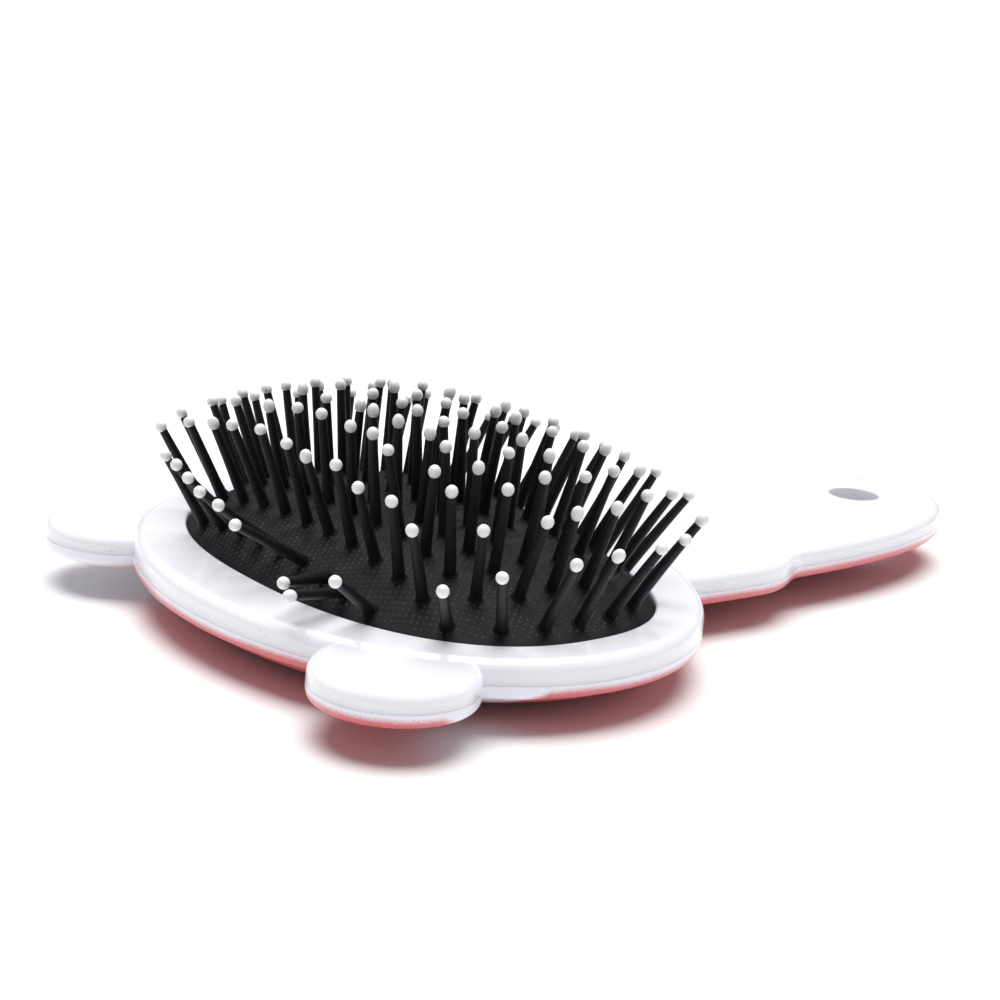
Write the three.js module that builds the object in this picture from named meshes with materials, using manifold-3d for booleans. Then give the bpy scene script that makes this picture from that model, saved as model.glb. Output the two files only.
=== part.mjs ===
// Cushion hairbrush with a flat two-shell body, two round ear lobes and a hanging hole.
// Millimetres, +Z up. The brush lies on its back with the pins pointing up and the handle along +X.
// Pieces are shaped around the centre of the cushion; the whole group is then shifted so that the
// origin is the centre of the footprint at the rest face.
import * as THREE from 'three';
import { mergeVertices } from 'three/addons/utils/BufferGeometryUtils.js';
import Module from 'manifold-3d';

const wasm = await Module();
wasm.setup();

// ---- driving dimensions ----
const padHalfLength = 28.9; // cushion opening, half size along the handle
const padHalfWidth = 43.2; // cushion opening, half size across the handle
const padSquareness = 2.34; // 2 is a true ellipse, more is squarer
const rimEnd = 10.7; // rim between opening and head outline, along the handle
const rimSide = 7.2; // rim between opening and head outline, across the handle
const headSquareness = 2.05;
const earRadius = 11.9;
const earAngle = THREE.MathUtils.degToRad(135); // place of an ear on the head outline
const earStandOff = 3.2; // ear centre outside the head outline
const earStep = 0.5; // ear face below the rim face
const handleReach = 75.1; // handle end beyond the head outline
const lobeHalfWidth = 26.7; // wide shoulder of the handle
const lobePeakReach = 9.4; // widest place of the shoulder beyond the head outline
const lobeFoldReach = 18.9; // where the shoulder turns in
const gripStartReach = 24.4; // where the grip proper starts
const gripHalfWidth = 22.2;
const gripTaperReach = 61; // where the grip starts to close
const gripTaperHalfWidth = 16.9;
const handleStep = 0.4; // handle face below the rim face
const rootDepth = 16; // handle root inside the head outline
const rootDrop = 3; // the root is this much narrower than the shoulder
const rootEase = 20; // lengths of the outline's curve handles
const lobeEaseIn = 8;
const lobeEaseOut = 5;
const foldEase = 2.25;
const foldSlope = 0.55; // fall of the outline where the shoulder turns in
const gripEase = 2;
const gripRun = 16;
const taperEase = 9;
const taperSlope = 0.41; // fall of the outline where the grip closes
const holeRadius = 4.45; // hanging hole
const holeFromEnd = 16;
const frontDepth = 3.8; // front shell skirt, rim face to parting gap
const backEdgeDepth = 1.9; // back shell edge, parting gap to its flat border
const domeDepth = 5.5; // flat border to rest face
const domeFlat = 0.55; // share of the head's dome that is flat and rests on the table
const domeCurve = 2.2; // power of the dome profile
const handleDomeDepth = 2.2; // the handle's dome is shallower and stays off the table
const handleDomeFlat = 0.3;
const handleDomeHalfWidth = 17;
const handleDomeSquareness = 2.2;
const handleDomeShift = 4; // dome centre nearer the head than the handle's middle
const handleDomeExtra = 2; // dome beyond the handle's half length
const topRound = 1.3;
const topRoundSteps = 2;
const bottomRound = 1.1;
const frontWall = 1.8;
const frontPlate = 1.6;
const backFloor = 1.6;
const partingGap = 0.3;
const clearance = 0.3;
const padThickness = 1.2;
const padRise = 9; // crown of the cushion
const padCurve = 2.9; // power of the crown's profile
const padSink = 0.5; // edge of the cushion below the rim face
const padSkirt = 0.8; // wall of the cushion where it drops to its flange
const flangeWidth = 3;
const flangeThickness = 0.9;
const seatRibWidth = 1;
const retainerThickness = 1.2;
const retainerLip = 0.8; // retainer reaches in past the opening edge
const pinLength = 16; // cushion surface to the top of the ball
const pinRootRadius = 0.76;
const pinTipRadius = 0.6;
const ballRadius = 1.02;
const pinSides = 5;
const pinHoleSides = 4;
const pinHoleClearance = 0.15; // pin to the flats of its hole
const outerColumn = 0.878; // outermost pin columns, share of the pin border
const columnsEachSide = 4;
const pinPitch = 6.3; // wanted distance between pins in a column
const pinBorder = 0.93; // outermost pins, share of the opening
const pinFan = 1; // 1 stands the pins square to the crown
const barWidth = 2;
const barThickness = 0.8;
const barGap = 0.6; // bar below the cushion
const barOverlap = 1; // bar beyond the pin feet that it joins
const pegRadius = 1.2;
const socketWall = 1.1;
const ovalSteps = 36; // sides of the cushion's ovals
const headSteps = 44;
const discSteps = 22;
const domeSteps = 32;
const handleCurveSteps = 5;
const postSides = 12;
const holeSides = 24;
const cutMargin = 1; // cutting tools reach this far past what they cut

// ---- levels ----
const borderZ = domeDepth;
const partingZ = borderZ + backEdgeDepth;
const skirtZ = partingZ + partingGap;
const rimZ = partingZ + frontDepth;
const plateZ = rimZ - frontPlate;
const flangeTopZ = plateZ - clearance;
const flangeBottomZ = flangeTopZ - flangeThickness;
const retainerTopZ = flangeBottomZ - clearance;
const retainerBottomZ = retainerTopZ - retainerThickness;
const padEdgeZ = rimZ - padSink;

// ---- plan ----
const headHalfLength = padHalfLength + rimEnd;
const headHalfWidth = padHalfWidth + rimSide;
const earX = headHalfLength * Math.cos(earAngle);
const earY = headHalfWidth * Math.sin(earAngle);
const earPush = 1 + earStandOff / Math.hypot(earX, earY);
const earCentres = [1, -1].map((side) => new THREE.Vector2(earX * earPush, side * earY * earPush));
const handleEnd = headHalfLength + handleReach;
const holeX = handleEnd - holeFromEnd;
const lowX = Math.min(-headHalfLength, earCentres[0].x - earRadius);
const handleDomeX = (headHalfLength + handleEnd) / 2 - handleDomeShift;
const handleDomeHalfLength = handleReach / 2 + handleDomeExtra;

const material = (name, colour, roughness) => {
  const finish = new THREE.MeshStandardMaterial({ color: colour, roughness, metalness: 0 });
  finish.name = name;
  return finish;
};
const whitePlastic = material('white_gloss', 0xf2f1f7, 0.16);
const blushPlastic = material('blush_gloss', 0xe58f93, 0.22);
const blackRubber = material('black_rubber', 0x1c1c1f, 0.72);
const blackNylon = material('black_nylon', 0x19191c, 0.42);
const greyPlastic = material('grey_plastic', 0x8c8c90, 0.5);

const solidOf = (geometry) => {
  const bare = geometry.index ? geometry.clone() : geometry;
  bare.deleteAttribute('normal');
  bare.deleteAttribute('uv');
  const merged = mergeVertices(bare, 1e-4);
  return new wasm.Manifold(new wasm.Mesh({
    numProp: 3,
    vertProperties: new Float32Array(merged.attributes.position.array),
    triVerts: new Uint32Array(merged.index.array),
  }));
};

const geometryOf = (solid) => {
  const mesh = solid.getMesh();
  const geometry = new THREE.BufferGeometry();
  geometry.setAttribute('position', new THREE.BufferAttribute(new Float32Array(mesh.vertProperties), 3));
  geometry.setIndex(new THREE.BufferAttribute(new Uint32Array(mesh.triVerts), 1));
  geometry.computeVertexNormals();
  return geometry;
};

const power = (value, exponent) => Math.sign(value) * Math.pow(Math.abs(value), exponent);

const ovalShape = (halfLength, halfWidth, squareness, steps) => {
  const points = [];
  for (let i = 0; i < steps; i += 1) {
    const angle = (i / steps) * 2 * Math.PI;
    const x = halfLength * power(Math.cos(angle), 2 / squareness);
    const y = halfWidth * power(Math.sin(angle), 2 / squareness);
    points.push(new THREE.Vector2(x, y));
  }
  return new THREE.Shape(points);
};

const discShape = (centre, radius) => {
  const points = [];
  for (let i = 0; i < discSteps; i += 1) {
    const angle = (i / discSteps) * 2 * Math.PI;
    const arm = new THREE.Vector2(radius * Math.cos(angle), radius * Math.sin(angle));
    points.push(arm.add(centre));
  }
  return new THREE.Shape(points);
};

// One side of the handle from the head to the tip; the other side is its mirror.
const handleShape = (inset) => {
  const spot = (x, y) => new THREE.Vector2(x, y);
  const lobe = lobeHalfWidth - inset;
  const grip = gripHalfWidth - inset;
  const taper = gripTaperHalfWidth - inset;
  const middle = (lobe + grip) / 2;
  const root = headHalfLength - rootDepth;
  const peak = headHalfLength + lobePeakReach;
  const fold = headHalfLength + lobeFoldReach - inset / 2;
  const start = headHalfLength + gripStartReach - inset / 2;
  const taperX = headHalfLength + gripTaperReach - inset / 2;
  const tip = handleEnd - inset;
  const foldFall = foldEase * foldSlope;
  const taperFall = taperEase * taperSlope;
  const spans = [
    [spot(root, lobe - rootDrop), spot(peak - rootEase, lobe - rootDrop / 3), spot(peak - lobeEaseIn, lobe)],
    [spot(peak, lobe), spot(peak + lobeEaseOut, lobe), spot(fold - foldEase, middle + foldFall)],
    [spot(fold, middle), spot(fold + foldEase, middle - foldFall), spot(start - gripEase, grip)],
    [spot(start, grip), spot(start + gripRun, grip), spot(taperX - taperEase, taper + taperFall)],
    [spot(taperX, taper), spot(taperX + taperEase, taper - taperFall), spot(tip, taper / 2)],
  ];
  const ends = [...spans.slice(1).map((span) => span[0]), spot(tip, 0)];
  const points = [spans[0][0]];
  spans.forEach((span, i) => {
    const curve = new THREE.CubicBezierCurve(...span, ends[i]);
    points.push(...curve.getPoints(handleCurveSteps).slice(1));
  });
  const mirrored = points.slice(0, -1).reverse().map((point) => spot(point.x, -point.y));
  return new THREE.Shape([...points, ...mirrored]);
};

// Straight-sided plate between two heights; round > 0 rounds its top and bottom edge.
const plate = (shape, low, high, round = 0, roundSteps = 1) => {
  const geometry = new THREE.ExtrudeGeometry(shape, {
    depth: high - low - 2 * round,
    bevelEnabled: round > 0,
    bevelThickness: round,
    bevelSize: round,
    bevelOffset: -round,
    bevelSegments: roundSteps,
  });
  geometry.translate(0, 0, low + round);
  return solidOf(geometry);
};

const post = (x, y, radius, low, high, sides = postSides) => {
  const geometry = new THREE.CylinderGeometry(radius, radius, high - low, sides);
  geometry.rotateX(Math.PI / 2);
  geometry.translate(x, y, (low + high) / 2);
  return solidOf(geometry);
};

// A turned section given an oval plan. Each section point has share (of the half sizes),
// offset (outwards, mm) and z.
const ovalTurned = (section, halfLength, halfWidth, squareness, steps, centreX = 0) => {
  const profile = section.map((point) => new THREE.Vector2(point.share + point.offset / halfWidth, point.z));
  const geometry = new THREE.LatheGeometry(profile, steps);
  const position = geometry.attributes.position;
  for (let i = 0; i <= steps; i += 1) {
    const angle = ((i % steps) / steps) * 2 * Math.PI;
    const across = -power(Math.cos(angle), 2 / squareness);
    const along = power(Math.sin(angle), 2 / squareness);
    section.forEach((point, j) => {
      const x = centreX + (halfLength * point.share + point.offset) * along;
      const y = (halfWidth * point.share + point.offset) * across;
      position.setXYZ(i * section.length + j, x, y, point.z);
    });
  }
  return solidOf(geometry);
};

const at = (share, offset, z) => ({ share, offset, z });

// Height of a dome above the rest face at a share of its radius.
const domeHeight = ({ depth, flat }, share) => {
  const climb = Math.max(0, share - flat) / (1 - flat);
  return borderZ - depth * (1 - Math.pow(climb, domeCurve));
};

const domes = [
  {
    x: 0,
    depth: domeDepth,
    flat: domeFlat,
    halfLength: headHalfLength - bottomRound,
    halfWidth: headHalfWidth - bottomRound,
    squareness: headSquareness,
  },
  {
    x: handleDomeX,
    depth: handleDomeDepth,
    flat: handleDomeFlat,
    halfLength: handleDomeHalfLength,
    halfWidth: handleDomeHalfWidth,
    squareness: handleDomeSquareness,
  },
];

// A dome with its crown down, lifted off the rest face and closed flat at topZ.
const domeSolid = (dome, inset, lift, topZ) => {
  const section = [at(0, 0, domeHeight(dome, 0) + lift)];
  for (const climb of [0, 0.36, 0.69, 1]) {
    const share = dome.flat + climb * (1 - dome.flat);
    section.push(at(share, -inset, domeHeight(dome, share) + lift));
  }
  section.push(at(1, -inset, topZ));
  section.push(at(0, 0, topZ));
  return ovalTurned(section, dome.halfLength, dome.halfWidth, dome.squareness, domeSteps, dome.x);
};

const outlines = (inset) => [
  { shape: ovalShape(headHalfLength - inset, headHalfWidth - inset, headSquareness, headSteps), step: 0 },
  ...earCentres.map((centre) => ({ shape: discShape(centre, earRadius - inset), step: earStep })),
  { shape: handleShape(inset), step: handleStep },
];

const unionOf = (solids) => solids.reduce((whole, next) => whole.add(next));

const slabBox = (low, high) => {
  const size = 2 * (handleEnd + headHalfWidth);
  const geometry = new THREE.BoxGeometry(size, size, high - low);
  geometry.translate(0, 0, (low + high) / 2);
  return solidOf(geometry);
};

const pegPlaces = [
  ...earCentres.map((centre) => ({ x: centre.x, y: centre.y, step: earStep })),
  { x: headHalfLength + lobePeakReach, y: lobeHalfWidth / 2, step: handleStep },
  { x: headHalfLength + lobePeakReach, y: -lobeHalfWidth / 2, step: handleStep },
  { x: (headHalfLength + gripStartReach + holeX) / 2, y: 0, step: handleStep },
];

const frontShell = () => {
  const footZ = skirtZ - 2 * topRound;
  const slabs = outlines(0).map(({ shape, step }) =>
    plate(shape, footZ, rimZ - step, topRound, topRoundSteps));
  let solid = unionOf(slabs).intersect(slabBox(skirtZ, rimZ + cutMargin));
  const rooms = outlines(frontWall).map(({ shape, step }) => plate(shape, skirtZ - cutMargin, plateZ - step));
  solid = solid.subtract(unionOf(rooms));
  const bondZ = plateZ + frontPlate / 2; // ribs and posts reach half way into the plate
  const ribIn = flangeWidth + clearance;
  const ribOut = ribIn + seatRibWidth;
  const rib = [at(1, ribIn, skirtZ), at(1, ribOut, skirtZ), at(1, ribOut, bondZ), at(1, ribIn, bondZ)];
  solid = solid.add(ovalTurned([...rib, rib[0]], padHalfLength, padHalfWidth, padSquareness, ovalSteps));
  const opening = ovalShape(padHalfLength, padHalfWidth, padSquareness, ovalSteps);
  solid = solid.subtract(plate(opening, plateZ - cutMargin, rimZ + cutMargin));
  const socketRadius = pegRadius + clearance;
  for (const peg of pegPlaces) {
    solid = solid.add(post(peg.x, peg.y, socketRadius + socketWall, skirtZ, bondZ - peg.step));
    solid = solid.subtract(post(peg.x, peg.y, socketRadius, skirtZ - cutMargin, plateZ - peg.step));
  }
  const collarZ = borderZ + backFloor + clearance;
  solid = solid.add(post(holeX, 0, holeRadius + frontWall, collarZ, bondZ - handleStep, holeSides));
  return solid.subtract(post(holeX, 0, holeRadius, collarZ - cutMargin, rimZ + cutMargin, holeSides));
};

// The oval ring that clamps the cushion flange; a margin gives the room that it needs.
const retainerRing = (margin) => {
  const inner = -retainerLip - margin;
  const outer = flangeWidth + margin;
  const section = [
    at(1, inner, retainerBottomZ - margin),
    at(1, outer, retainerBottomZ - margin),
    at(1, outer, retainerTopZ + margin),
    at(1, inner, retainerTopZ + margin),
    at(1, inner, retainerBottomZ - margin),
  ];
  return ovalTurned(section, padHalfLength, padHalfWidth, padSquareness, ovalSteps);
};

const backShell = () => {
  const headZ = partingZ + 2 * bottomRound;
  const slabs = outlines(0).map(({ shape }) => plate(shape, borderZ, headZ, bottomRound));
  const trimmed = unionOf(slabs).intersect(slabBox(0, partingZ));
  const outer = unionOf([trimmed, ...domes.map((dome) => domeSolid(dome, 0, 0, borderZ + backFloor / 2))]);
  const roomTop = partingZ + cutMargin;
  const rooms = [
    ...outlines(frontWall).map(({ shape }) => plate(shape, borderZ + backFloor, roomTop)),
    ...domes.map((dome) => domeSolid(dome, frontWall, backFloor, roomTop)),
  ];
  let solid = outer.subtract(unionOf(rooms));
  for (const peg of pegPlaces) {
    solid = solid.add(post(peg.x, peg.y, pegRadius, 0, borderZ + cutMargin).intersect(outer));
    solid = solid.add(post(peg.x, peg.y, pegRadius, borderZ, plateZ - peg.step - clearance));
  }
  solid = solid.add(post(holeX, 0, holeRadius + frontWall, 0, borderZ + backFloor, holeSides).intersect(outer));
  solid = solid.subtract(retainerRing(clearance));
  return solid.subtract(post(holeX, 0, holeRadius, -cutMargin, rimZ, holeSides));
};

const padTop = (share) => padEdgeZ + padRise * (1 - Math.pow(share, padCurve));

// Share of the opening that a place lies at, 0 in the middle and 1 on the edge.
const padShare = (x, y) => {
  const along = Math.pow(Math.abs(x) / padHalfLength, padSquareness);
  const across = Math.pow(Math.abs(y) / padHalfWidth, padSquareness);
  return Math.pow(along + across, 1 / padSquareness);
};

// Where the pins stand: columns across the handle, each closing on the oval border, with every
// second column half a pitch out of step.
const pinColumns = () => {
  const columns = [];
  const columnPitch = (padHalfLength * pinBorder * outerColumn) / columnsEachSide;
  for (let i = -columnsEachSide; i <= columnsEachSide; i += 1) {
    const x = i * columnPitch;
    const along = Math.pow(Math.abs(x) / (padHalfLength * pinBorder), padSquareness);
    const halfSpan = padHalfWidth * pinBorder * Math.pow(1 - along, 1 / padSquareness);
    const odd = Math.abs(i) % 2;
    const gaps = 2 * Math.round((2 * halfSpan / pinPitch - odd) / 2) + odd;
    const ys = [];
    for (let k = 0; k <= gaps; k += 1) {
      ys.push(-halfSpan + (2 * halfSpan * k) / gaps);
    }
    columns.push({ x, ys });
  }
  return columns;
};

// Pins stand along the crown's own slope, so they fan out towards the border.
const pinDirection = (x, y) => {
  const share = Math.max(padShare(x, y), 1e-6);
  const fall = pinFan * padRise * padCurve * Math.pow(share, padCurve - padSquareness);
  const slope = (place, half) => (fall * power(place / half, padSquareness - 1)) / half;
  return new THREE.Vector3(slope(x, padHalfLength), slope(y, padHalfWidth), 1).normalize();
};

// A place on a pin: x and y of its root, then the distance along it from the cushion's face.
const alongPin = (x, y, distance) => {
  const root = new THREE.Vector3(x, y, padTop(padShare(x, y)));
  return root.addScaledVector(pinDirection(x, y), distance);
};

const placeOnPin = (geometry, x, y) => {
  const root = alongPin(x, y, 0);
  const turn = new THREE.Quaternion().setFromUnitVectors(new THREE.Vector3(0, 0, 1), pinDirection(x, y));
  geometry.applyQuaternion(turn);
  geometry.translate(root.x, root.y, root.z);
  return solidOf(geometry);
};

const footDepth = padThickness + barGap + barThickness / 2;

const pin = (x, y) => {
  const ballZ = pinLength - ballRadius;
  const profile = [new THREE.Vector2(0, -footDepth), new THREE.Vector2(pinRootRadius, -footDepth)];
  const start = -Math.acos(pinTipRadius / ballRadius); // where the shaft enters the ball
  const ballSteps = 3;
  for (let i = 0; i < ballSteps; i += 1) {
    const angle = start + ((Math.PI / 2 - start) * i) / ballSteps;
    profile.push(new THREE.Vector2(ballRadius * Math.cos(angle), ballZ + ballRadius * Math.sin(angle)));
  }
  profile.push(new THREE.Vector2(0, pinLength));
  const geometry = new THREE.LatheGeometry(profile, pinSides);
  geometry.rotateX(Math.PI / 2);
  return placeOnPin(geometry, x, y);
};

const pinHole = (x, y) => {
  const radius = (pinRootRadius + pinHoleClearance) / Math.cos(Math.PI / pinHoleSides);
  const geometry = new THREE.CylinderGeometry(radius, radius, 4 * padThickness, pinHoleSides);
  geometry.rotateX(Math.PI / 2);
  return placeOnPin(geometry, x, y);
};

// A bar that joins two neighbouring pin feet under the cushion.
const footBar = (x, y, nextY) => {
  const from = alongPin(x, y, -footDepth);
  const to = alongPin(x, nextY, -footDepth);
  const along = to.clone().sub(from).normalize();
  const up = pinDirection(x, (y + nextY) / 2);
  const across = up.clone().cross(along).normalize();
  up.crossVectors(along, across);
  const geometry = new THREE.BoxGeometry(from.distanceTo(to) + 2 * barOverlap, barWidth, barThickness);
  geometry.applyMatrix4(new THREE.Matrix4().makeBasis(along, across, up));
  const middle = from.add(to).multiplyScalar(0.5);
  geometry.translate(middle.x, middle.y, middle.z);
  return solidOf(geometry);
};

const pinRow = (x, ys) => unionOf([
  ...ys.map((y) => pin(x, y)),
  ...ys.slice(1).map((y, i) => footBar(x, ys[i], y)),
]);

const cushionPad = (columns) => {
  const innerOffset = -clearance - padSkirt;
  const shares = [0, 0.4, 0.62, 0.79, 0.92];
  const crown = shares.map((share) => at(share, -clearance * share, padTop(share)));
  const underside = shares.map((share) => at(share, innerOffset * share, padTop(share) - padThickness));
  const section = [
    ...crown,
    at(1, -clearance, padEdgeZ),
    at(1, -clearance, flangeTopZ),
    at(1, flangeWidth, flangeTopZ),
    at(1, flangeWidth, flangeBottomZ),
    at(1, innerOffset, flangeBottomZ),
    at(1, innerOffset, padEdgeZ - padThickness),
    ...underside.reverse(),
  ];
  let solid = ovalTurned(section.reverse(), padHalfLength, padHalfWidth, padSquareness, ovalSteps);
  for (const column of columns) {
    for (const y of column.ys) {
      solid = solid.subtract(pinHole(column.x, y));
    }
  }
  return solid;
};

const brush = new THREE.Group();
brush.name = 'hairbrush';

const addPiece = (name, solid, finish) => {
  const mesh = new THREE.Mesh(geometryOf(solid), finish);
  mesh.name = name;
  brush.add(mesh);
};

const columns = pinColumns();
addPiece('front_shell', frontShell(), whitePlastic);
addPiece('back_shell', backShell(), blushPlastic);
addPiece('cushion_pad', cushionPad(columns), blackRubber);
addPiece('cushion_retainer', retainerRing(0), greyPlastic);
columns.forEach((column, index) => {
  const left = column.ys.filter((y) => y > -1e-6);
  const right = column.ys.filter((y) => y <= -1e-6);
  addPiece(`pin_row_${index + 1}_left`, pinRow(column.x, left), blackNylon);
  addPiece(`pin_row_${index + 1}_right`, pinRow(column.x, right), blackNylon);
});

brush.position.x = -(lowX + handleEnd) / 2;

export default brush;
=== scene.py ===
import math
import random

import bmesh
import bpy
from mathutils import Matrix, Vector
from mathutils.geometry import interpolate_bezier


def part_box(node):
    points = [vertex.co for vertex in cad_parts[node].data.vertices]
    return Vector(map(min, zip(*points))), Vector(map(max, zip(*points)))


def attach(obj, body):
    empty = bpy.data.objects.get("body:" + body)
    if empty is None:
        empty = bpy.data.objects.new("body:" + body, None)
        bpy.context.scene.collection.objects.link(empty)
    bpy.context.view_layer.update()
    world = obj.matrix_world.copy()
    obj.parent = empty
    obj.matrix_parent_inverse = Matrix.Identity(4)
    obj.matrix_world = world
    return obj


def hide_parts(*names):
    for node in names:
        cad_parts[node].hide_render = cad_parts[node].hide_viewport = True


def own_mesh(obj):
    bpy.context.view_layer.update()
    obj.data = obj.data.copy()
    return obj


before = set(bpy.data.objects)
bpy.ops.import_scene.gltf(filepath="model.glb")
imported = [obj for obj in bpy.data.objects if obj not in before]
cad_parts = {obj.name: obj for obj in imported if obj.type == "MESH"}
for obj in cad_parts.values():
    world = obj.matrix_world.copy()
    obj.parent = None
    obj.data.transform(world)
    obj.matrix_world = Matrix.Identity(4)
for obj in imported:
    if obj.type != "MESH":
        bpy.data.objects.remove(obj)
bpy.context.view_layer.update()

mm = 0.001
tiny = 1e-6
cutReach = 2 * mm  # how far a cutter runs past what it cuts
steps = dict(head=192, cushion=160, ear=96, hole=72, handleSpan=17)
creases = dict(shell=32, pin=40, rubber=50, ball=60, dot=80)  # degrees
scene = bpy.context.scene
random.seed(11)

# the brush's plan and levels come from the frame; the rest are sizes of its mouldings
padLow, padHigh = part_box("cushion_pad")
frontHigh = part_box("front_shell")[1]
flangeWidth = 3 * mm

brush = dict(
    centreX=(padLow.x + padHigh.x) / 2,
    openLength=(padHigh.x - padLow.x) / 2 - flangeWidth,
    openWidth=(padHigh.y - padLow.y) / 2 - flangeWidth,
    openSquare=2.34,
    rimEnd=10.7 * mm,
    rimSide=7.2 * mm,
    headSquare=2.05,
    handleEnd=frontHigh.x,
    rimZ=frontHigh.z,
    plateZ=frontHigh.z - 1.6 * mm,
    skirtZ=frontHigh.z - 3.5 * mm,
    partingZ=frontHigh.z - 3.8 * mm,
    borderZ=frontHigh.z - 5.7 * mm,
    backFloor=1.6 * mm,
    seam=0.01 * mm,  # what is left open between the two shells
    wall=1.8 * mm,
    earRadius=11.9 * mm,
    earAngle=math.radians(135),
    earStandOff=3.2 * mm,
    earStep=0.5 * mm,
    handleStep=0.35 * mm,
    holeFromEnd=16 * mm,
    holeRadius=4.45 * mm,
)
headLength = brush["openLength"] + brush["rimEnd"]
headWidth = brush["openWidth"] + brush["rimSide"]
holeX = brush["handleEnd"] - brush["holeFromEnd"]


def signedPower(value, exponent):
    return math.copysign(abs(value) ** exponent, value)


def ovalOutline(halfLength, halfWidth, squareness, count, x=0.0, y=0.0):
    points = []
    for i in range(count):
        angle = 2 * math.pi * i / count
        points.append((x + halfLength * signedPower(math.cos(angle), 2 / squareness),
                       y + halfWidth * signedPower(math.sin(angle), 2 / squareness)))
    return points


def arcSteps(count):
    return [math.pi / 2 * k / count for k in range(count + 1)]


def addRing(bm, points, z):
    ring = bmesh.ops.create_circle(bm, cap_ends=False, radius=1, segments=len(points))["verts"]
    for vert, (x, y) in zip(ring, points):
        vert.co = Vector((x, y, z))
    return ring


def ringEdges(ring):
    inRing = set(ring)
    return [edge for edge in {e for v in ring for e in v.link_edges} if all(v in inRing for v in edge.verts)]


def stackRings(bm, rings):
    loops = []
    for points, z in rings:
        loops.append(ringEdges(addRing(bm, points, z)))
    for lower, upper in zip(loops, loops[1:]):
        bmesh.ops.bridge_loops(bm, edges=lower + upper)
    return loops[0], loops[-1]


def shadeByAngle(obj, angle):
    obj.data.shade_smooth()
    obj.data.set_sharp_from_angle(angle=math.radians(angle))


def finishMesh(name, bm, smoothAngle=creases["shell"]):
    bmesh.ops.recalc_face_normals(bm, faces=bm.faces)
    mesh = bpy.data.meshes.new(name)
    bm.to_mesh(mesh)
    bm.free()
    obj = bpy.data.objects.new(name, mesh)
    scene.collection.objects.link(obj)
    shadeByAngle(obj, smoothAngle)
    return obj


def closedStack(name, rings, smoothAngle=creases["shell"]):
    bm = bmesh.new()
    for loop in stackRings(bm, rings):
        bmesh.ops.edgeloop_fill(bm, edges=loop)
    return finishMesh(name, bm, smoothAngle)


def plug(name, outline, inset, low, high):
    return closedStack(name, [(outline(inset), low), (outline(inset), high)])


def bakeModifiers(obj):
    depsgraph = bpy.context.evaluated_depsgraph_get()
    baked = bpy.data.meshes.new_from_object(obj.evaluated_get(depsgraph))
    obj.modifiers.clear()
    obj.data = baked


def combine(obj, other, operation):
    cut = obj.modifiers.new("cut", "BOOLEAN")
    cut.operation = operation
    cut.solver = "MANIFOLD"
    cut.object = other
    bakeModifiers(obj)
    bpy.data.objects.remove(other, do_unlink=True)


def joinInto(target, others):
    bm = bmesh.new()
    for obj in [target] + others:
        bm.from_mesh(obj.data)
    bm.to_mesh(target.data)
    bm.free()
    for obj in others:
        bpy.data.objects.remove(obj, do_unlink=True)


def shadeShell(obj):
    # the big faces keep their own normals, so they don't pick up shading from the rounds
    shadeByAngle(obj, creases["shell"])
    weighted = obj.modifiers.new("faceWeights", "WEIGHTED_NORMAL")
    weighted.keep_sharp = True
    weighted.weight = 80


def headOutline(inset, share=1.0):
    return ovalOutline((headLength - inset) * share, (headWidth - inset) * share,
                       brush["headSquare"], steps["head"], brush["centreX"])


def openingOutline(inset):
    return ovalOutline(brush["openLength"] - inset, brush["openWidth"] - inset,
                       brush["openSquare"], steps["head"], brush["centreX"])


def holeOutline(inset):
    radius = brush["holeRadius"] - inset
    return ovalOutline(radius, radius, 2, steps["hole"], holeX)


earReach = Vector((headLength * math.cos(brush["earAngle"]), headWidth * math.sin(brush["earAngle"])))
earCentre = earReach * (1 + brush["earStandOff"] / earReach.length)


def earOutline(side):
    def outline(inset):
        radius = brush["earRadius"] - inset
        return ovalOutline(radius, radius, 2, steps["ear"],
                           brush["centreX"] + earCentre.x, side * earCentre.y)
    return outline


# half widths, then places along it from the head's end, then how far each curve's ends pull
handle = dict(
    lobeHalf=26.7 * mm, gripHalf=22.2 * mm, taperHalf=16.9 * mm,
    rootDepth=16 * mm, peak=9.4 * mm, fold=18.9 * mm, start=24.4 * mm, taper=61 * mm,
    rootDrop=3 * mm, rootOut=(20 * mm, mm), peakIn=8 * mm, peakOut=5 * mm,
    foldIn=(2.5 * mm, 1.4 * mm), foldOut=(2 * mm, 1.1 * mm), gripIn=2 * mm, gripOut=16 * mm,
    taperPull=(9 * mm, 3.7 * mm),
)


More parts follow.
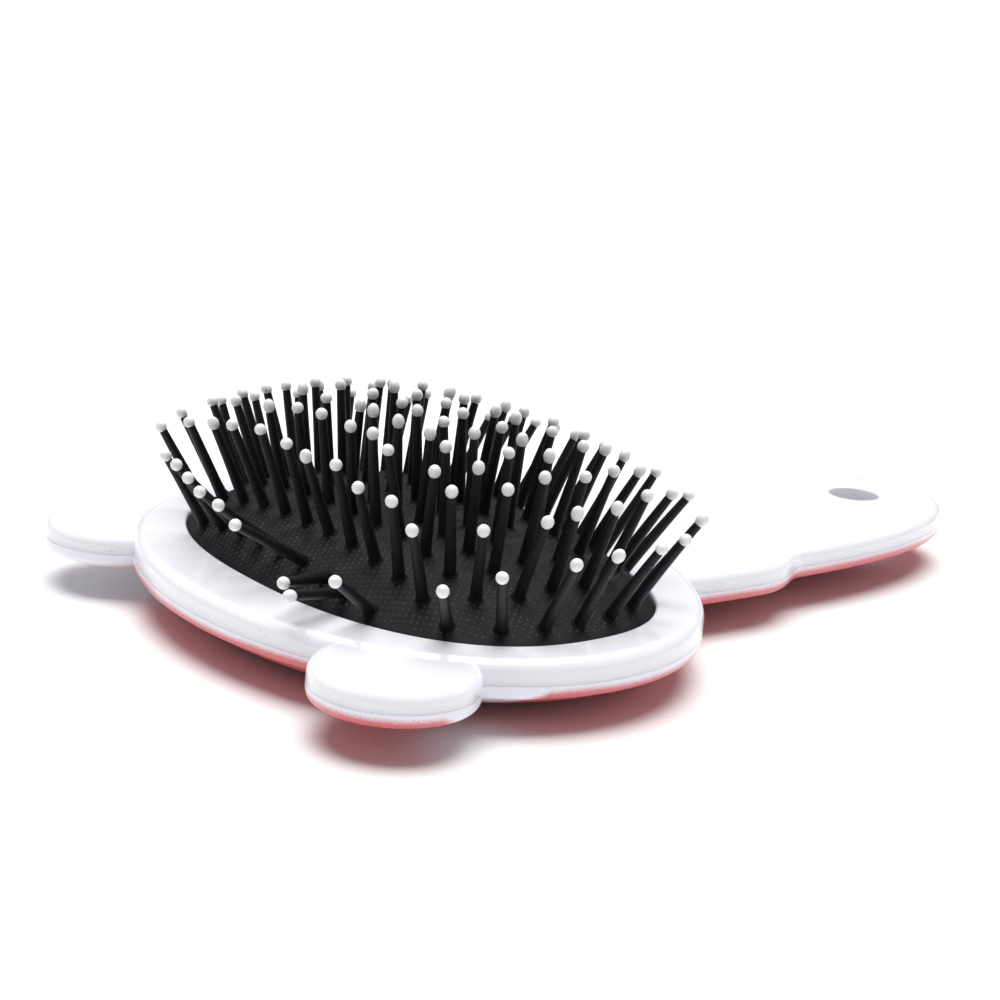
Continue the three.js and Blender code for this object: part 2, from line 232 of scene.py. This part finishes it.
def handleOutline(inset):
    edge = brush["centreX"] + headLength
    lobe = handle["lobeHalf"] - inset
    grip = handle["gripHalf"] - inset
    taper = handle["taperHalf"] - inset
    middle = (lobe + grip) / 2
    root = edge - handle["rootDepth"]
    peak = edge + handle["peak"]
    fold = edge + handle["fold"] - inset / 2
    start = edge + handle["start"] - inset / 2
    taperX = edge + handle["taper"] - inset / 2
    tip = brush["handleEnd"] - inset
    rootX, rootY = handle["rootOut"]
    foldX, foldY = handle["foldIn"]
    leaveX, leaveY = handle["foldOut"]
    pullX, pullY = handle["taperPull"]
    spans = [
        ((root, lobe - handle["rootDrop"]), (peak - rootX, lobe - rootY), (peak - handle["peakIn"], lobe),
         (peak, lobe)),
        ((peak, lobe), (peak + handle["peakOut"], lobe), (fold - foldX, middle + foldY), (fold, middle)),
        ((fold, middle), (fold + leaveX, middle - leaveY), (start - handle["gripIn"], grip), (start, grip)),
        ((start, grip), (start + handle["gripOut"], grip), (taperX - pullX, taper + pullY), (taperX, taper)),
        ((taperX, taper), (taperX + pullX, taper - pullY), (tip, taper / 2), (tip, 0)),
    ]
    side = []
    for span in spans:
        curve = interpolate_bezier(*[Vector((x, y, 0)) for x, y in span], steps["handleSpan"])
        side += [(point.x, point.y) for point in curve[(1 if side else 0):]]
    return side + [(x, -y) for x, y in reversed(side[:-1])]


# each lobe of the body and how far its top lies below the rim's
lobes = [(headOutline, 0.0), (earOutline(1), brush["earStep"]), (earOutline(-1), brush["earStep"]),
         (handleOutline, brush["handleStep"])]

frontShellLook = dict(topRound=1.9 * mm, footRound=0.03 * mm, roundSteps=8, openingLip=0.5 * mm,
                      holeLip=0.3 * mm, lipSteps=6, openingReach=3 * mm, collarGap=0.1 * mm,
                      collarBite=0.5 * mm)


def topLobe(name, outline, topZ):
    foot = frontShellLook["footRound"]
    top = frontShellLook["topRound"]
    rings = [(outline(foot), brush["skirtZ"]), (outline(0), brush["skirtZ"] + foot)]
    for angle in arcSteps(frontShellLook["roundSteps"]):
        rings.append((outline(top * (1 - math.cos(angle))), topZ - top + top * math.sin(angle)))
    return closedStack(name, rings)


def flaredPlug(name, outline, low, topZ, lip):
    rings = [(outline(0), low)]
    for angle in arcSteps(frontShellLook["lipSteps"]):
        rings.append((outline(-lip * (1 - math.cos(angle))), topZ - lip + lip * math.sin(angle)))
    rings.append((outline(-lip), topZ + cutReach))
    return closedStack(name, rings)


def buildFrontShell():
    body = None
    for outline, step in lobes:
        part = topLobe("front_shell_body", outline, brush["rimZ"] - step)
        if body is None:
            body = part
        else:
            combine(body, part, "UNION")
    for outline, step in lobes:
        inner = plug("inner", outline, brush["wall"], brush["skirtZ"] - cutReach, brush["plateZ"] - step)
        combine(body, inner, "DIFFERENCE")
    collar = plug("collar", holeOutline, -brush["wall"],
                  brush["borderZ"] + brush["backFloor"] + frontShellLook["collarGap"],
                  brush["plateZ"] + frontShellLook["collarBite"])
    combine(body, collar, "UNION")
    opening = flaredPlug("opening", openingOutline, brush["skirtZ"] - frontShellLook["openingReach"],
                         brush["rimZ"], frontShellLook["openingLip"])
    combine(body, opening, "DIFFERENCE")
    hole = flaredPlug("hole", holeOutline, 0, brush["rimZ"] - brush["handleStep"], frontShellLook["holeLip"])
    combine(body, hole, "DIFFERENCE")
    shadeShell(body)
    return body


frontShell = buildFrontShell()
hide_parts("front_shell")
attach(frontShell, "casing")
print("front shell", len(frontShell.data.polygons))


backShellLook = dict(bottomRound=1.25 * mm, roundSteps=6, edgeRound=0.03 * mm, domeCurve=2.2, domeSteps=14,
                     headFlat=0.55, handleDome=2.2 * mm, handleReach=12 * mm, earDome=0.25 * mm,
                     earReach=4 * mm, holeReach=mm, ringGap=0.03 * mm)


def domeZ(depth, climb):
    return brush["borderZ"] - depth * (1 - climb ** backShellLook["domeCurve"])


def domeClimbs():
    count = backShellLook["domeSteps"]
    return [1 - k / count for k in range(1, count + 1)]


def headDome(inset):
    flat = backShellLook["headFlat"]
    return [(headOutline(inset, flat + (1 - flat) * climb), domeZ(brush["borderZ"], climb))
            for climb in domeClimbs()]


def handleDome(inset):
    return [(handleOutline(inset + backShellLook["handleReach"] * (1 - climb)),
             domeZ(backShellLook["handleDome"], climb)) for climb in domeClimbs()]


def earDome(side):
    def dome(inset):
        return [(earOutline(side)(inset + backShellLook["earReach"] * k),
                 brush["borderZ"] - backShellLook["earDome"] * math.sqrt(k)) for k in (1, 2)]
    return dome


def bottomLobe(name, outline, dome, inset, lift, topZ):
    bottomRound = backShellLook["bottomRound"]
    edge = backShellLook["edgeRound"]
    rings = [(outline(inset + edge), topZ), (outline(inset), topZ - edge)]
    for angle in arcSteps(backShellLook["roundSteps"]):
        rings.append((outline(inset + bottomRound * (1 - math.cos(angle))),
                      brush["borderZ"] + lift + bottomRound * (1 - math.sin(angle))))
    rings += [(points, z + lift) for points, z in dome(inset + bottomRound)]
    return closedStack(name, rings)


def joinLobes(name, inset, lift, topZ):
    whole = None
    for (outline, _), dome in zip(lobes, (headDome, earDome(1), earDome(-1), handleDome)):
        part = bottomLobe(name, outline, dome, inset, lift, topZ)
        if whole is None:
            whole = part
        else:
            combine(whole, part, "UNION")
    return whole


def buildBackShell():
    # the room inside goes round a ring of wall at the hanging hole
    low = -backShellLook["holeReach"]
    body = joinLobes("back_shell_body", 0, 0, brush["skirtZ"] - brush["seam"])
    combine(body, plug("hole", holeOutline, 0, low, brush["rimZ"]), "DIFFERENCE")
    room = joinLobes("room", brush["wall"], brush["backFloor"], brush["partingZ"] + cutReach)
    ringZ = brush["borderZ"] + brush["backFloor"] - backShellLook["ringGap"]
    combine(room, plug("ring", holeOutline, -brush["wall"], low, ringZ), "DIFFERENCE")
    combine(body, room, "DIFFERENCE")
    shadeShell(body)
    return body


backShell = buildBackShell()
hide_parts("back_shell")
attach(backShell, "casing")
print("back shell", len(backShell.data.polygons))


cushion = dict(edgeZ=frontHigh.z - 0.5 * mm, rise=9 * mm, curve=2.9, thickness=1.2 * mm, gap=0.12 * mm,
               flangeTop=brush["plateZ"] - 0.3 * mm, flangeThick=0.9 * mm, flangeInset=1.1 * mm,
               skirtInset=0.3 * mm, travel=2.5 * mm, crownSteps=26, crownStart=0.02, crownSpan=0.96,
               dotPitch=0.95 * mm, dotRadius=0.22 * mm, dotTaper=0.45, dotHeight=0.2 * mm, dotSides=6,
               dotLift=0.4, dotTurn=math.radians(37), dotSpread=1.42, dotEdge=0.965, dotClear=1.15 * mm)

# the rubber's small cone round each pin
coneLook = dict(foot=1.35 * mm, top=0.8 * mm, height=0.9 * mm, lift=0.2 * mm, sides=16)

# pins stand in columns across the handle that close on the oval border
pins = dict(pitch=5.9 * mm, spacing=6.3 * mm, border=0.93, columnsEachSide=4, length=16 * mm,
            rootRadius=0.95 * mm, tipRadius=0.64 * mm, ballRadius=0.92 * mm, sides=12, shaftSteps=6,
            headRadius=1.05 * mm, headThick=0.5 * mm, headGap=0.1 * mm, rough=0.07, bend=0.5 * mm,
            lean=(-0.08, -0.12), sweep=-0.57, sweepStep=-0.21, ballAround=14, ballRings=10,
            ballStretch=(1.0, 1.06, 1.12, 1.3))

# pins that have been pushed right over: column and place from the near side, then the lean
pushedOver = {(0, 0): (-1.4, -0.9), (0, 1): (-5.0, -2.1), (0, 2): (-4.8, -3.2),
              (1, 0): (-0.9, -1.0), (2, 0): (-0.6, -0.7)}


def pinColumns():
    rows = []
    square = brush["openSquare"]
    for i in range(-pins["columnsEachSide"], pins["columnsEachSide"] + 1):
        x = i * pins["pitch"]
        reach = (1 - (abs(x) / (brush["openLength"] * pins["border"])) ** square) ** (1 / square)
        half = brush["openWidth"] * pins["border"] * reach
        odd = abs(i) % 2
        gaps = 2 * math.floor((2 * half / pins["spacing"] - odd) / 2 + 0.5) + odd
        rows.append((x, [-half + 2 * half * k / gaps for k in range(gaps + 1)]))
    return rows


columns = pinColumns()
pinFeet = [(brush["centreX"] + x, y) for x, ys in columns for y in ys]


def padShare(x, y):
    square = brush["openSquare"]
    return ((abs(x - brush["centreX"]) / brush["openLength"]) ** square
            + (abs(y) / brush["openWidth"]) ** square) ** (1 / square)


def padTop(share):
    return cushion["edgeZ"] + cushion["rise"] * (1 - share ** cushion["curve"])


def padOutline(share):
    halfLength = brush["openLength"] - cushion["gap"]
    halfWidth = brush["openWidth"] - cushion["gap"]
    return ovalOutline(halfLength * share, halfWidth * share,
                       brush["openSquare"], steps["cushion"], brush["centreX"])


def buildMembrane():
    count = cushion["crownSteps"]
    crown = [(cushion["crownStart"] + cushion["crownSpan"] * math.sin(math.pi / 2 * k / count), 0)
             for k in range(count + 1)]
    edge = [(0.992, 0.05 * mm), (1, 0.25 * mm), (1, cushion["thickness"])]
    under = [(share, cushion["thickness"]) for share in (0.97, 0.8, 0.55, 0.3, cushion["crownStart"])]
    rings = [(padOutline(share), padTop(share) - drop) for share, drop in crown + edge + under]
    return closedStack("cushion_membrane", rings, creases["rubber"])


def buildDots():
    # one raised dot, repeated by two arrays over the pad, then settled on its crown
    bm = bmesh.new()
    bmesh.ops.create_cone(bm, cap_ends=True, segments=cushion["dotSides"], radius1=cushion["dotRadius"],
                          radius2=cushion["dotRadius"] * cushion["dotTaper"], depth=cushion["dotHeight"])
    underside = [face for face in bm.faces if face.normal.z < -0.9]
    bmesh.ops.delete(bm, geom=underside, context="FACES_ONLY")
    perDot = len(bm.verts)
    dots = finishMesh("dots", bm, creases["dot"])
    pitch = cushion["dotPitch"]
    across = int(brush["openWidth"] * cushion["dotSpread"] / pitch) * 2
    for offset in ((pitch, 0, 0), (0, pitch, 0)):
        array = dots.modifiers.new("grid", "ARRAY")
        array.use_relative_offset = False
        array.use_constant_offset = True
        array.constant_offset_displace = offset
        array.count = across
    bakeModifiers(dots)
    middle = Matrix.Translation((-across * pitch / 2, -across * pitch / 2, 0))
    turn = Matrix.Rotation(cushion["dotTurn"], 4, "Z")
    dots.data.transform(Matrix.Translation((brush["centreX"], 0, 0)) @ turn @ middle)
    bm = bmesh.new()
    bm.from_mesh(dots.data)
    bm.verts.ensure_lookup_table()
    away = []
    for start in range(0, len(bm.verts), perDot):
        dot = bm.verts[start:start + perDot]
        x = sum(vert.co.x for vert in dot) / perDot
        y = sum(vert.co.y for vert in dot) / perDot
        toPin = min((x - footX) ** 2 + (y - footY) ** 2 for footX, footY in pinFeet)
        if padShare(x, y) > cushion["dotEdge"] or toPin < cushion["dotClear"] ** 2:
            away += dot
            continue
        for vert in dot:
            vert.co.z += padTop(padShare(vert.co.x, vert.co.y)) + cushion["dotHeight"] * cushion["dotLift"]
    bmesh.ops.delete(bm, geom=away, context="VERTS")
    for face in bm.faces:
        face.material_index = 1  # the lighter rubber, a painted highlight on the dots
    bm.to_mesh(dots.data)
    bm.free()
    shadeByAngle(dots, creases["dot"])
    return dots


def pinDirection(x, y):
    # square to the crown, so the pins fan out towards the border
    square = brush["openSquare"]
    fall = cushion["rise"] * cushion["curve"] * max(padShare(x, y), tiny) ** (cushion["curve"] - square)
    along = (x - brush["centreX"]) / brush["openLength"]
    across = y / brush["openWidth"]
    return Vector((fall * signedPower(along, square - 1) / brush["openLength"],
                   fall * signedPower(across, square - 1) / brush["openWidth"], 1)).normalized()


def turnTo(direction):
    return Vector((0, 0, 1)).rotation_difference(direction).to_matrix().to_4x4()


def buildCones():
    bm = bmesh.new()
    for x, y in pinFeet:
        foot = Matrix.Translation((x, y, padTop(padShare(x, y)) + coneLook["lift"]))
        place = foot @ turnTo(pinDirection(x, y))
        bmesh.ops.create_cone(bm, cap_ends=True, segments=coneLook["sides"], radius1=coneLook["foot"],
                              radius2=coneLook["top"], depth=coneLook["height"], matrix=place)
    return finishMesh("cones", bm, creases["rubber"])


membrane = buildMembrane()
joinInto(membrane, [buildDots(), buildCones()])
shadeByAngle(membrane, creases["rubber"])
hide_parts("cushion_pad")
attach(membrane, "casing")
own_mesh(membrane)
print("cushion", len(membrane.data.polygons))


def buildFlange():
    bm = bmesh.new()
    low = cushion["flangeTop"] - cushion["flangeThick"]
    top = cushion["edgeZ"] - cushion["thickness"]
    inner = openingOutline(cushion["flangeInset"])
    skirt = openingOutline(cushion["skirtInset"])
    outer = openingOutline(-flangeWidth)
    rings = [(inner, low), (outer, low), (outer, cushion["flangeTop"]), (skirt, cushion["flangeTop"]),
             (skirt, top), (inner, top)]
    first, last = stackRings(bm, rings)
    bmesh.ops.bridge_loops(bm, edges=first + last)
    return finishMesh("cushion_flange", bm)


flange = buildFlange()
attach(flange, "casing")


def wornDirection(column, order, x, y, count):
    # no pin stands quite true, and the first column is swept over, more so towards the near side
    direction = pinDirection(x, y)
    if column == 0:
        direction = Vector((pins["sweep"] + pins["sweepStep"] * (count - 1 - order), 0, 1))
    direction.x += pins["lean"][0] + random.uniform(-pins["rough"], pins["rough"])
    direction.y += pins["lean"][1] + random.uniform(-pins["rough"], pins["rough"])
    if (column, order) in pushedOver:
        direction = Vector((*pushedOver[column, order], 1))
    return direction.normalized()


def addShaft(bm):
    # half a section from the moulded head under the cushion up to the ball, turned once round
    foot = -(cushion["thickness"] + pins["headGap"])
    ballZ = pins["length"] - pins["ballRadius"]
    section = [(0, foot - pins["headThick"]), (pins["headRadius"], foot - pins["headThick"]),
               (pins["headRadius"], foot), (pins["rootRadius"], foot)]
    count = pins["shaftSteps"]
    for k in range(1, count + 1):
        radius = pins["rootRadius"] + (pins["tipRadius"] - pins["rootRadius"]) * k / count
        section.append((radius, foot + (ballZ - foot) * k / count))
    section.append((0, ballZ))
    chain = [bm.verts.new((radius, 0, level)) for radius, level in section]
    edges = [bm.edges.new(pair) for pair in zip(chain, chain[1:])]
    bmesh.ops.spin(bm, geom=chain + edges, cent=(0, 0, 0), axis=(0, 0, 1), angle=2 * math.pi,
                   steps=pins["sides"], use_merge=True)
    bmesh.ops.remove_doubles(bm, verts=bm.verts, dist=tiny)


def addBall(bm, stretch):
    bmesh.ops.create_uvsphere(bm, u_segments=pins["ballAround"], v_segments=pins["ballRings"],
                              radius=pins["ballRadius"])
    place = Matrix.Translation((0, 0, pins["length"] - pins["ballRadius"] * stretch))
    bmesh.ops.transform(bm, verts=bm.verts, matrix=place @ Matrix.Diagonal((1, 1, stretch, 1)))


def standOnPad(bm, x, y, direction, sag):
    for vert in bm.verts:
        rise = max(0.0, vert.co.z) / pins["length"]
        vert.co.x += sag.x * rise * rise
        vert.co.y += sag.y * rise * rise
    place = Matrix.Translation((x, y, padTop(padShare(x, y)))) @ turnTo(direction)
    bmesh.ops.transform(bm, matrix=place, verts=bm.verts)


def moveInto(target, bm):
    piece = bpy.data.meshes.new("piece")
    bm.to_mesh(piece)
    bm.free()
    target.from_mesh(piece)
    bpy.data.meshes.remove(piece)


def buildPinRow(name, column, side):
    # a pin on the middle line belongs to the left row
    x = brush["centreX"] + columns[column][0]
    ys = columns[column][1]
    shafts = bmesh.new()
    balls = bmesh.new()
    for order, y in enumerate(ys):
        if (y > -tiny) != (side == "left"):
            continue
        direction = wornDirection(column, order, x, y, len(ys))
        sag = Vector((random.uniform(-1, 1), random.uniform(-1, 1))) * pins["bend"]
        shaft = bmesh.new()
        addShaft(shaft)
        standOnPad(shaft, x, y, direction, sag)
        moveInto(shafts, shaft)
        ball = bmesh.new()
        addBall(ball, random.choice(pins["ballStretch"]))
        standOnPad(ball, x, y, direction, sag)
        moveInto(balls, ball)
    return (finishMesh(name + "_shafts", shafts, creases["pin"]),
            finishMesh(name + "_balls", balls, creases["ball"]))


pinShafts = []
pinBalls = []
for column in range(len(columns)):
    for side in ("left", "right"):
        name = f"pin_row_{column + 1}_{side}"
        shafts, balls = buildPinRow(name, column, side)
        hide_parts(name)
        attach(shafts, name)
        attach(balls, name)
        pinShafts.append(shafts)
        pinBalls.append(balls)
print("pins", len(pinFeet))


def newMaterial(name):
    material = bpy.data.materials.new(name)
    material.use_nodes = True
    return material, material.node_tree, material.node_tree.nodes["Principled BSDF"]


def setInputs(node, values):
    for name, value in values.items():
        node.inputs[name].default_value = value


def objectCoords(tree):
    return tree.nodes.new("ShaderNodeTexCoord").outputs["Object"]


def noise(tree, coords, scale, detail=3.0):
    texture = tree.nodes.new("ShaderNodeTexNoise")
    setInputs(texture, {"Scale": scale, "Detail": detail})
    tree.links.new(coords, texture.inputs["Vector"])
    return texture.outputs["Fac"]


def remap(tree, value, low, high, outLow, outHigh):
    node = tree.nodes.new("ShaderNodeMapRange")
    setInputs(node, {"From Min": low, "From Max": high, "To Min": outLow, "To Max": outHigh})
    tree.links.new(value, node.inputs["Value"])
    return node.outputs["Result"]


def addValues(tree, first, second):
    node = tree.nodes.new("ShaderNodeMath")
    tree.links.new(first, node.inputs[0])
    tree.links.new(second, node.inputs[1])
    return node.outputs[0]


def mixColour(tree, factor, first, second):
    node = tree.nodes.new("ShaderNodeMix")
    node.data_type = "RGBA"
    for value, socket in ((factor, node.inputs[0]), (first, node.inputs[6]), (second, node.inputs[7])):
        if isinstance(value, tuple):
            socket.default_value = value
        else:
            tree.links.new(value, socket)
    return node.outputs[2]


grainInputs = ("Scale", "Detail", "Strength", "Distance")


def buildGrainGroup():
    # a fine mottle and the small bumps that go with it
    group = bpy.data.node_groups.new("surfaceGrain", "ShaderNodeTree")
    for name in grainInputs:
        group.interface.new_socket(name=name, in_out="INPUT", socket_type="NodeSocketFloat")
    group.interface.new_socket(name="Mottle", in_out="OUTPUT", socket_type="NodeSocketFloat")
    group.interface.new_socket(name="Normal", in_out="OUTPUT", socket_type="NodeSocketVector")
    entry = group.nodes.new("NodeGroupInput")
    leave = group.nodes.new("NodeGroupOutput")
    texture = group.nodes.new("ShaderNodeTexNoise")
    bumps = group.nodes.new("ShaderNodeBump")
    group.links.new(objectCoords(group), texture.inputs["Vector"])
    for name in ("Scale", "Detail"):
        group.links.new(entry.outputs[name], texture.inputs[name])
    for name in ("Strength", "Distance"):
        group.links.new(entry.outputs[name], bumps.inputs[name])
    group.links.new(texture.outputs["Fac"], bumps.inputs["Height"])
    group.links.new(texture.outputs["Fac"], leave.inputs["Mottle"])
    group.links.new(bumps.outputs["Normal"], leave.inputs["Normal"])
    return group


grainGroup = buildGrainGroup()


def addGrain(tree, shader, scale, detail, strength, distance):
    node = tree.nodes.new("ShaderNodeGroup")
    node.node_tree = grainGroup
    setInputs(node, dict(zip(grainInputs, (scale, detail, strength, distance))))
    tree.links.new(node.outputs["Normal"], shader.inputs["Normal"])
    return node.outputs["Mottle"]


plasticWhite = (0.88, 0.885, 0.97, 1)


def whiteGloss():
    material, tree, shader = newMaterial("white_gloss")
    coords = objectCoords(tree)
    speck = remap(tree, noise(tree, coords, 900, 1.0), 0.76, 0.82, 0, 0.3)
    # random yellow-grey patches laid over the white
    greyPatch = remap(tree, noise(tree, coords, 110, 4.0), 0.68, 0.8, 0, 0.22)
    patchedWhite = mixColour(tree, greyPatch, plasticWhite, (0.5, 0.5, 0.42, 1))
    tree.links.new(mixColour(tree, speck, patchedWhite, (0.4, 0.39, 0.4, 1)), shader.inputs["Base Color"])
    tree.links.new(remap(tree, noise(tree, coords, 60), 0.3, 0.7, 0.08, 0.17), shader.inputs["Roughness"])
    addGrain(tree, shader, 140, 3, 0.05, 0.4 * mm)
    setInputs(shader, {"Coat Weight": 0.3, "Coat Roughness": 0.05, "Subsurface Weight": 0.45,
                       "Subsurface Radius": (1, 1, 1.1), "Subsurface Scale": 2 * mm})
    return material


# where the spray gun missed: x and y from the cushion's centre, and how far round it
sprayMisses = [(earCentre.x + 9 * mm, -earCentre.y - 9 * mm, 10 * mm),
               (earCentre.x - 2 * mm, earCentre.y, 15 * mm),
               (holeX - brush["centreX"], 0, 10 * mm)]


def sprayCover(tree, coords, grain):
    # full on the dome, thinning upwards to bare plastic at the parting
    split = tree.nodes.new("ShaderNodeSeparateXYZ")
    tree.links.new(coords, split.inputs["Vector"])
    cover = remap(tree, split.outputs["Z"], brush["partingZ"], brush["borderZ"] + 0.5 * mm, -0.1, 1.4)
    cloud = remap(tree, noise(tree, coords, 28, 2.0), 0.35, 0.65, -0.25, 0.3)
    cover = addValues(tree, addValues(tree, cover, cloud), grain)
    for x, y, reach in sprayMisses:
        apart = tree.nodes.new("ShaderNodeVectorMath")
        apart.operation = "DISTANCE"
        apart.inputs[1].default_value = (brush["centreX"] + x, y, brush["borderZ"])
        tree.links.new(coords, apart.inputs[0])
        cover = addValues(tree, cover, remap(tree, apart.outputs["Value"], reach * 0.6, reach, -1.6, 0))
    return remap(tree, cover, 0.05, 1.0, 0, 1)


def blushGloss():
    material, tree, shader = newMaterial("blush_gloss")
    coords = objectCoords(tree)
    grain = remap(tree, noise(tree, coords, 5200, 1.0), 0.3, 0.7, -0.22, 0.22)
    cover = sprayCover(tree, coords, grain)
    coral = mixColour(tree, noise(tree, coords, 90), (0.6, 0.11, 0.125, 1), (0.7, 0.17, 0.18, 1))
    tree.links.new(mixColour(tree, cover, plasticWhite, coral), shader.inputs["Base Color"])
    tree.links.new(remap(tree, grain, -0.35, 0.35, 0.22, 0.36), shader.inputs["Roughness"])
    bumps = tree.nodes.new("ShaderNodeBump")
    setInputs(bumps, {"Strength": 0.12, "Distance": 0.08 * mm})
    tree.links.new(grain, bumps.inputs["Height"])
    tree.links.new(bumps.outputs["Normal"], shader.inputs["Normal"])
    setInputs(shader, {"Coat Weight": 0.15, "Coat Roughness": 0.15})
    return material


def blackRubber(name, dark, light):
    material, tree, shader = newMaterial(name)
    dust = remap(tree, noise(tree, objectCoords(tree), 420), 0.35, 0.7, 0, 1)
    tree.links.new(mixColour(tree, dust, dark, light), shader.inputs["Base Color"])
    tree.links.new(remap(tree, dust, 0, 1, 0.6, 0.75), shader.inputs["Roughness"])
    setInputs(shader, {"Specular IOR Level": 0.14})
    addGrain(tree, shader, 3200, 2, 0.3, 0.06 * mm)
    return material


def blackNylon():
    material, tree, shader = newMaterial("black_nylon")
    streak = noise(tree, objectCoords(tree), 700)
    colour = mixColour(tree, streak, (0.005, 0.005, 0.006, 1), (0.013, 0.013, 0.015, 1))
    tree.links.new(colour, shader.inputs["Base Color"])
    tree.links.new(remap(tree, streak, 0.3, 0.7, 0.4, 0.55), shader.inputs["Roughness"])
    setInputs(shader, {"Specular IOR Level": 0.2})
    addGrain(tree, shader, 1800, 3, 0.1, 0.05 * mm)
    return material


def pinBall():
    material, tree, shader = newMaterial("pin_ball")
    mottle = addGrain(tree, shader, 1500, 3, 0.2, 0.1 * mm)
    colour = mixColour(tree, mottle, (0.72, 0.72, 0.72, 1), (0.9, 0.9, 0.9, 1))
    tree.links.new(colour, shader.inputs["Base Color"])
    tree.links.new(remap(tree, mottle, 0.3, 0.7, 0.3, 0.5), shader.inputs["Roughness"])
    setInputs(shader, {"Subsurface Weight": 0.15, "Subsurface Radius": (1, 1, 1),
                       "Subsurface Scale": 0.5 * mm})
    return material


def greyPlastic():
    material, tree, shader = newMaterial("grey_plastic")
    cloud = addGrain(tree, shader, 300, 3, 0.05, 0.1 * mm)
    colour = mixColour(tree, cloud, (0.2, 0.2, 0.21, 1), (0.28, 0.28, 0.3, 1))
    tree.links.new(colour, shader.inputs["Base Color"])
    tree.links.new(remap(tree, cloud, 0.3, 0.7, 0.4, 0.6), shader.inputs["Roughness"])
    return material


def dress(obj, material):
    obj.data.materials.clear()
    obj.data.materials.append(material)


dress(frontShell, whiteGloss())
dress(backShell, blushGloss())
rubber = blackRubber("black_rubber", (0.009, 0.009, 0.01, 1), (0.019, 0.019, 0.021, 1))
# a lighter copy of the rubber for the dots: a painted highlight for the light caught on their tops
dotHighlightRubber = blackRubber("black_rubber_painted_highlight", (0.03, 0.03, 0.031, 1), (0.075, 0.075, 0.077, 1))
# the membrane's faces already say which of its two rubbers they take, so its list isn't cleared
for material in (rubber, dotHighlightRubber):
    membrane.data.materials.append(material)
dress(flange, rubber)
nylon = blackNylon()
for obj in pinShafts:
    dress(obj, nylon)
ballWhite = pinBall()
for obj in pinBalls:
    dress(obj, ballWhite)
grey = greyPlastic()
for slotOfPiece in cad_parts["cushion_retainer"].material_slots:
    slotOfPiece.material = grey
print("materials done")


studio = dict(floorHalf=12, floorColour=(0.9, 0.9, 0.9, 1), skyColour=(0.97, 0.97, 1, 1), skyStrength=0.24,
              sunStrength=4.3, sunAngle=math.radians(60), sunFrom=(0.1, 0.14, 1))

view = dict(azimuth=math.radians(-38.86), elevation=math.radians(15.1), roll=math.radians(4.5),
            distance=374.5 * mm, along=33.0 * mm, across=20.6 * mm, sensor=36, lens=78.9)


def buildFloor():
    bm = bmesh.new()
    bmesh.ops.create_grid(bm, x_segments=1, y_segments=1, size=studio["floorHalf"])
    floor = finishMesh("floor", bm)
    material, _, shader = newMaterial("floor_white")
    setInputs(shader, {"Base Color": studio["floorColour"], "Roughness": 0.7, "Specular IOR Level": 0.2})
    dress(floor, material)


def buildLight():
    world = bpy.data.worlds.new("studio")
    world.use_nodes = True
    setInputs(world.node_tree.nodes["Background"],
              {"Color": studio["skyColour"], "Strength": studio["skyStrength"]})
    scene.world = world
    lamp = bpy.data.lights.new("softbox", "SUN")
    lamp.energy = studio["sunStrength"]
    lamp.angle = studio["sunAngle"]
    light = bpy.data.objects.new("softbox", lamp)
    light.rotation_euler = Vector(studio["sunFrom"]).to_track_quat("Z", "Y").to_euler()
    scene.collection.objects.link(light)


def buildCamera():
    # the camera looks at a point beside the rim, and is rolled a little
    azimuth, elevation, roll = view["azimuth"], view["elevation"], view["roll"]
    target = Vector((brush["centreX"] + view["along"], view["across"], brush["rimZ"]))
    back = Vector((math.sin(azimuth) * math.cos(elevation), -math.cos(azimuth) * math.cos(elevation),
                   math.sin(elevation)))
    right = (-back).cross(Vector((0, 0, 1))).normalized()
    up = right.cross(-back)
    turnedRight = right * math.cos(roll) + up * math.sin(roll)
    turnedUp = up * math.cos(roll) - right * math.sin(roll)
    data = bpy.data.cameras.new("camera")
    data.sensor_width = view["sensor"]
    data.lens = view["lens"]
    data.clip_start = 0.01
    camera = bpy.data.objects.new("camera", data)
    place = Matrix((turnedRight, turnedUp, back)).transposed().to_4x4()
    place.translation = target + back * view["distance"]
    camera.matrix_world = place
    scene.collection.objects.link(camera)
    scene.camera = camera


buildFloor()
buildLight()
buildCamera()
scene.view_settings.view_transform = "Standard"
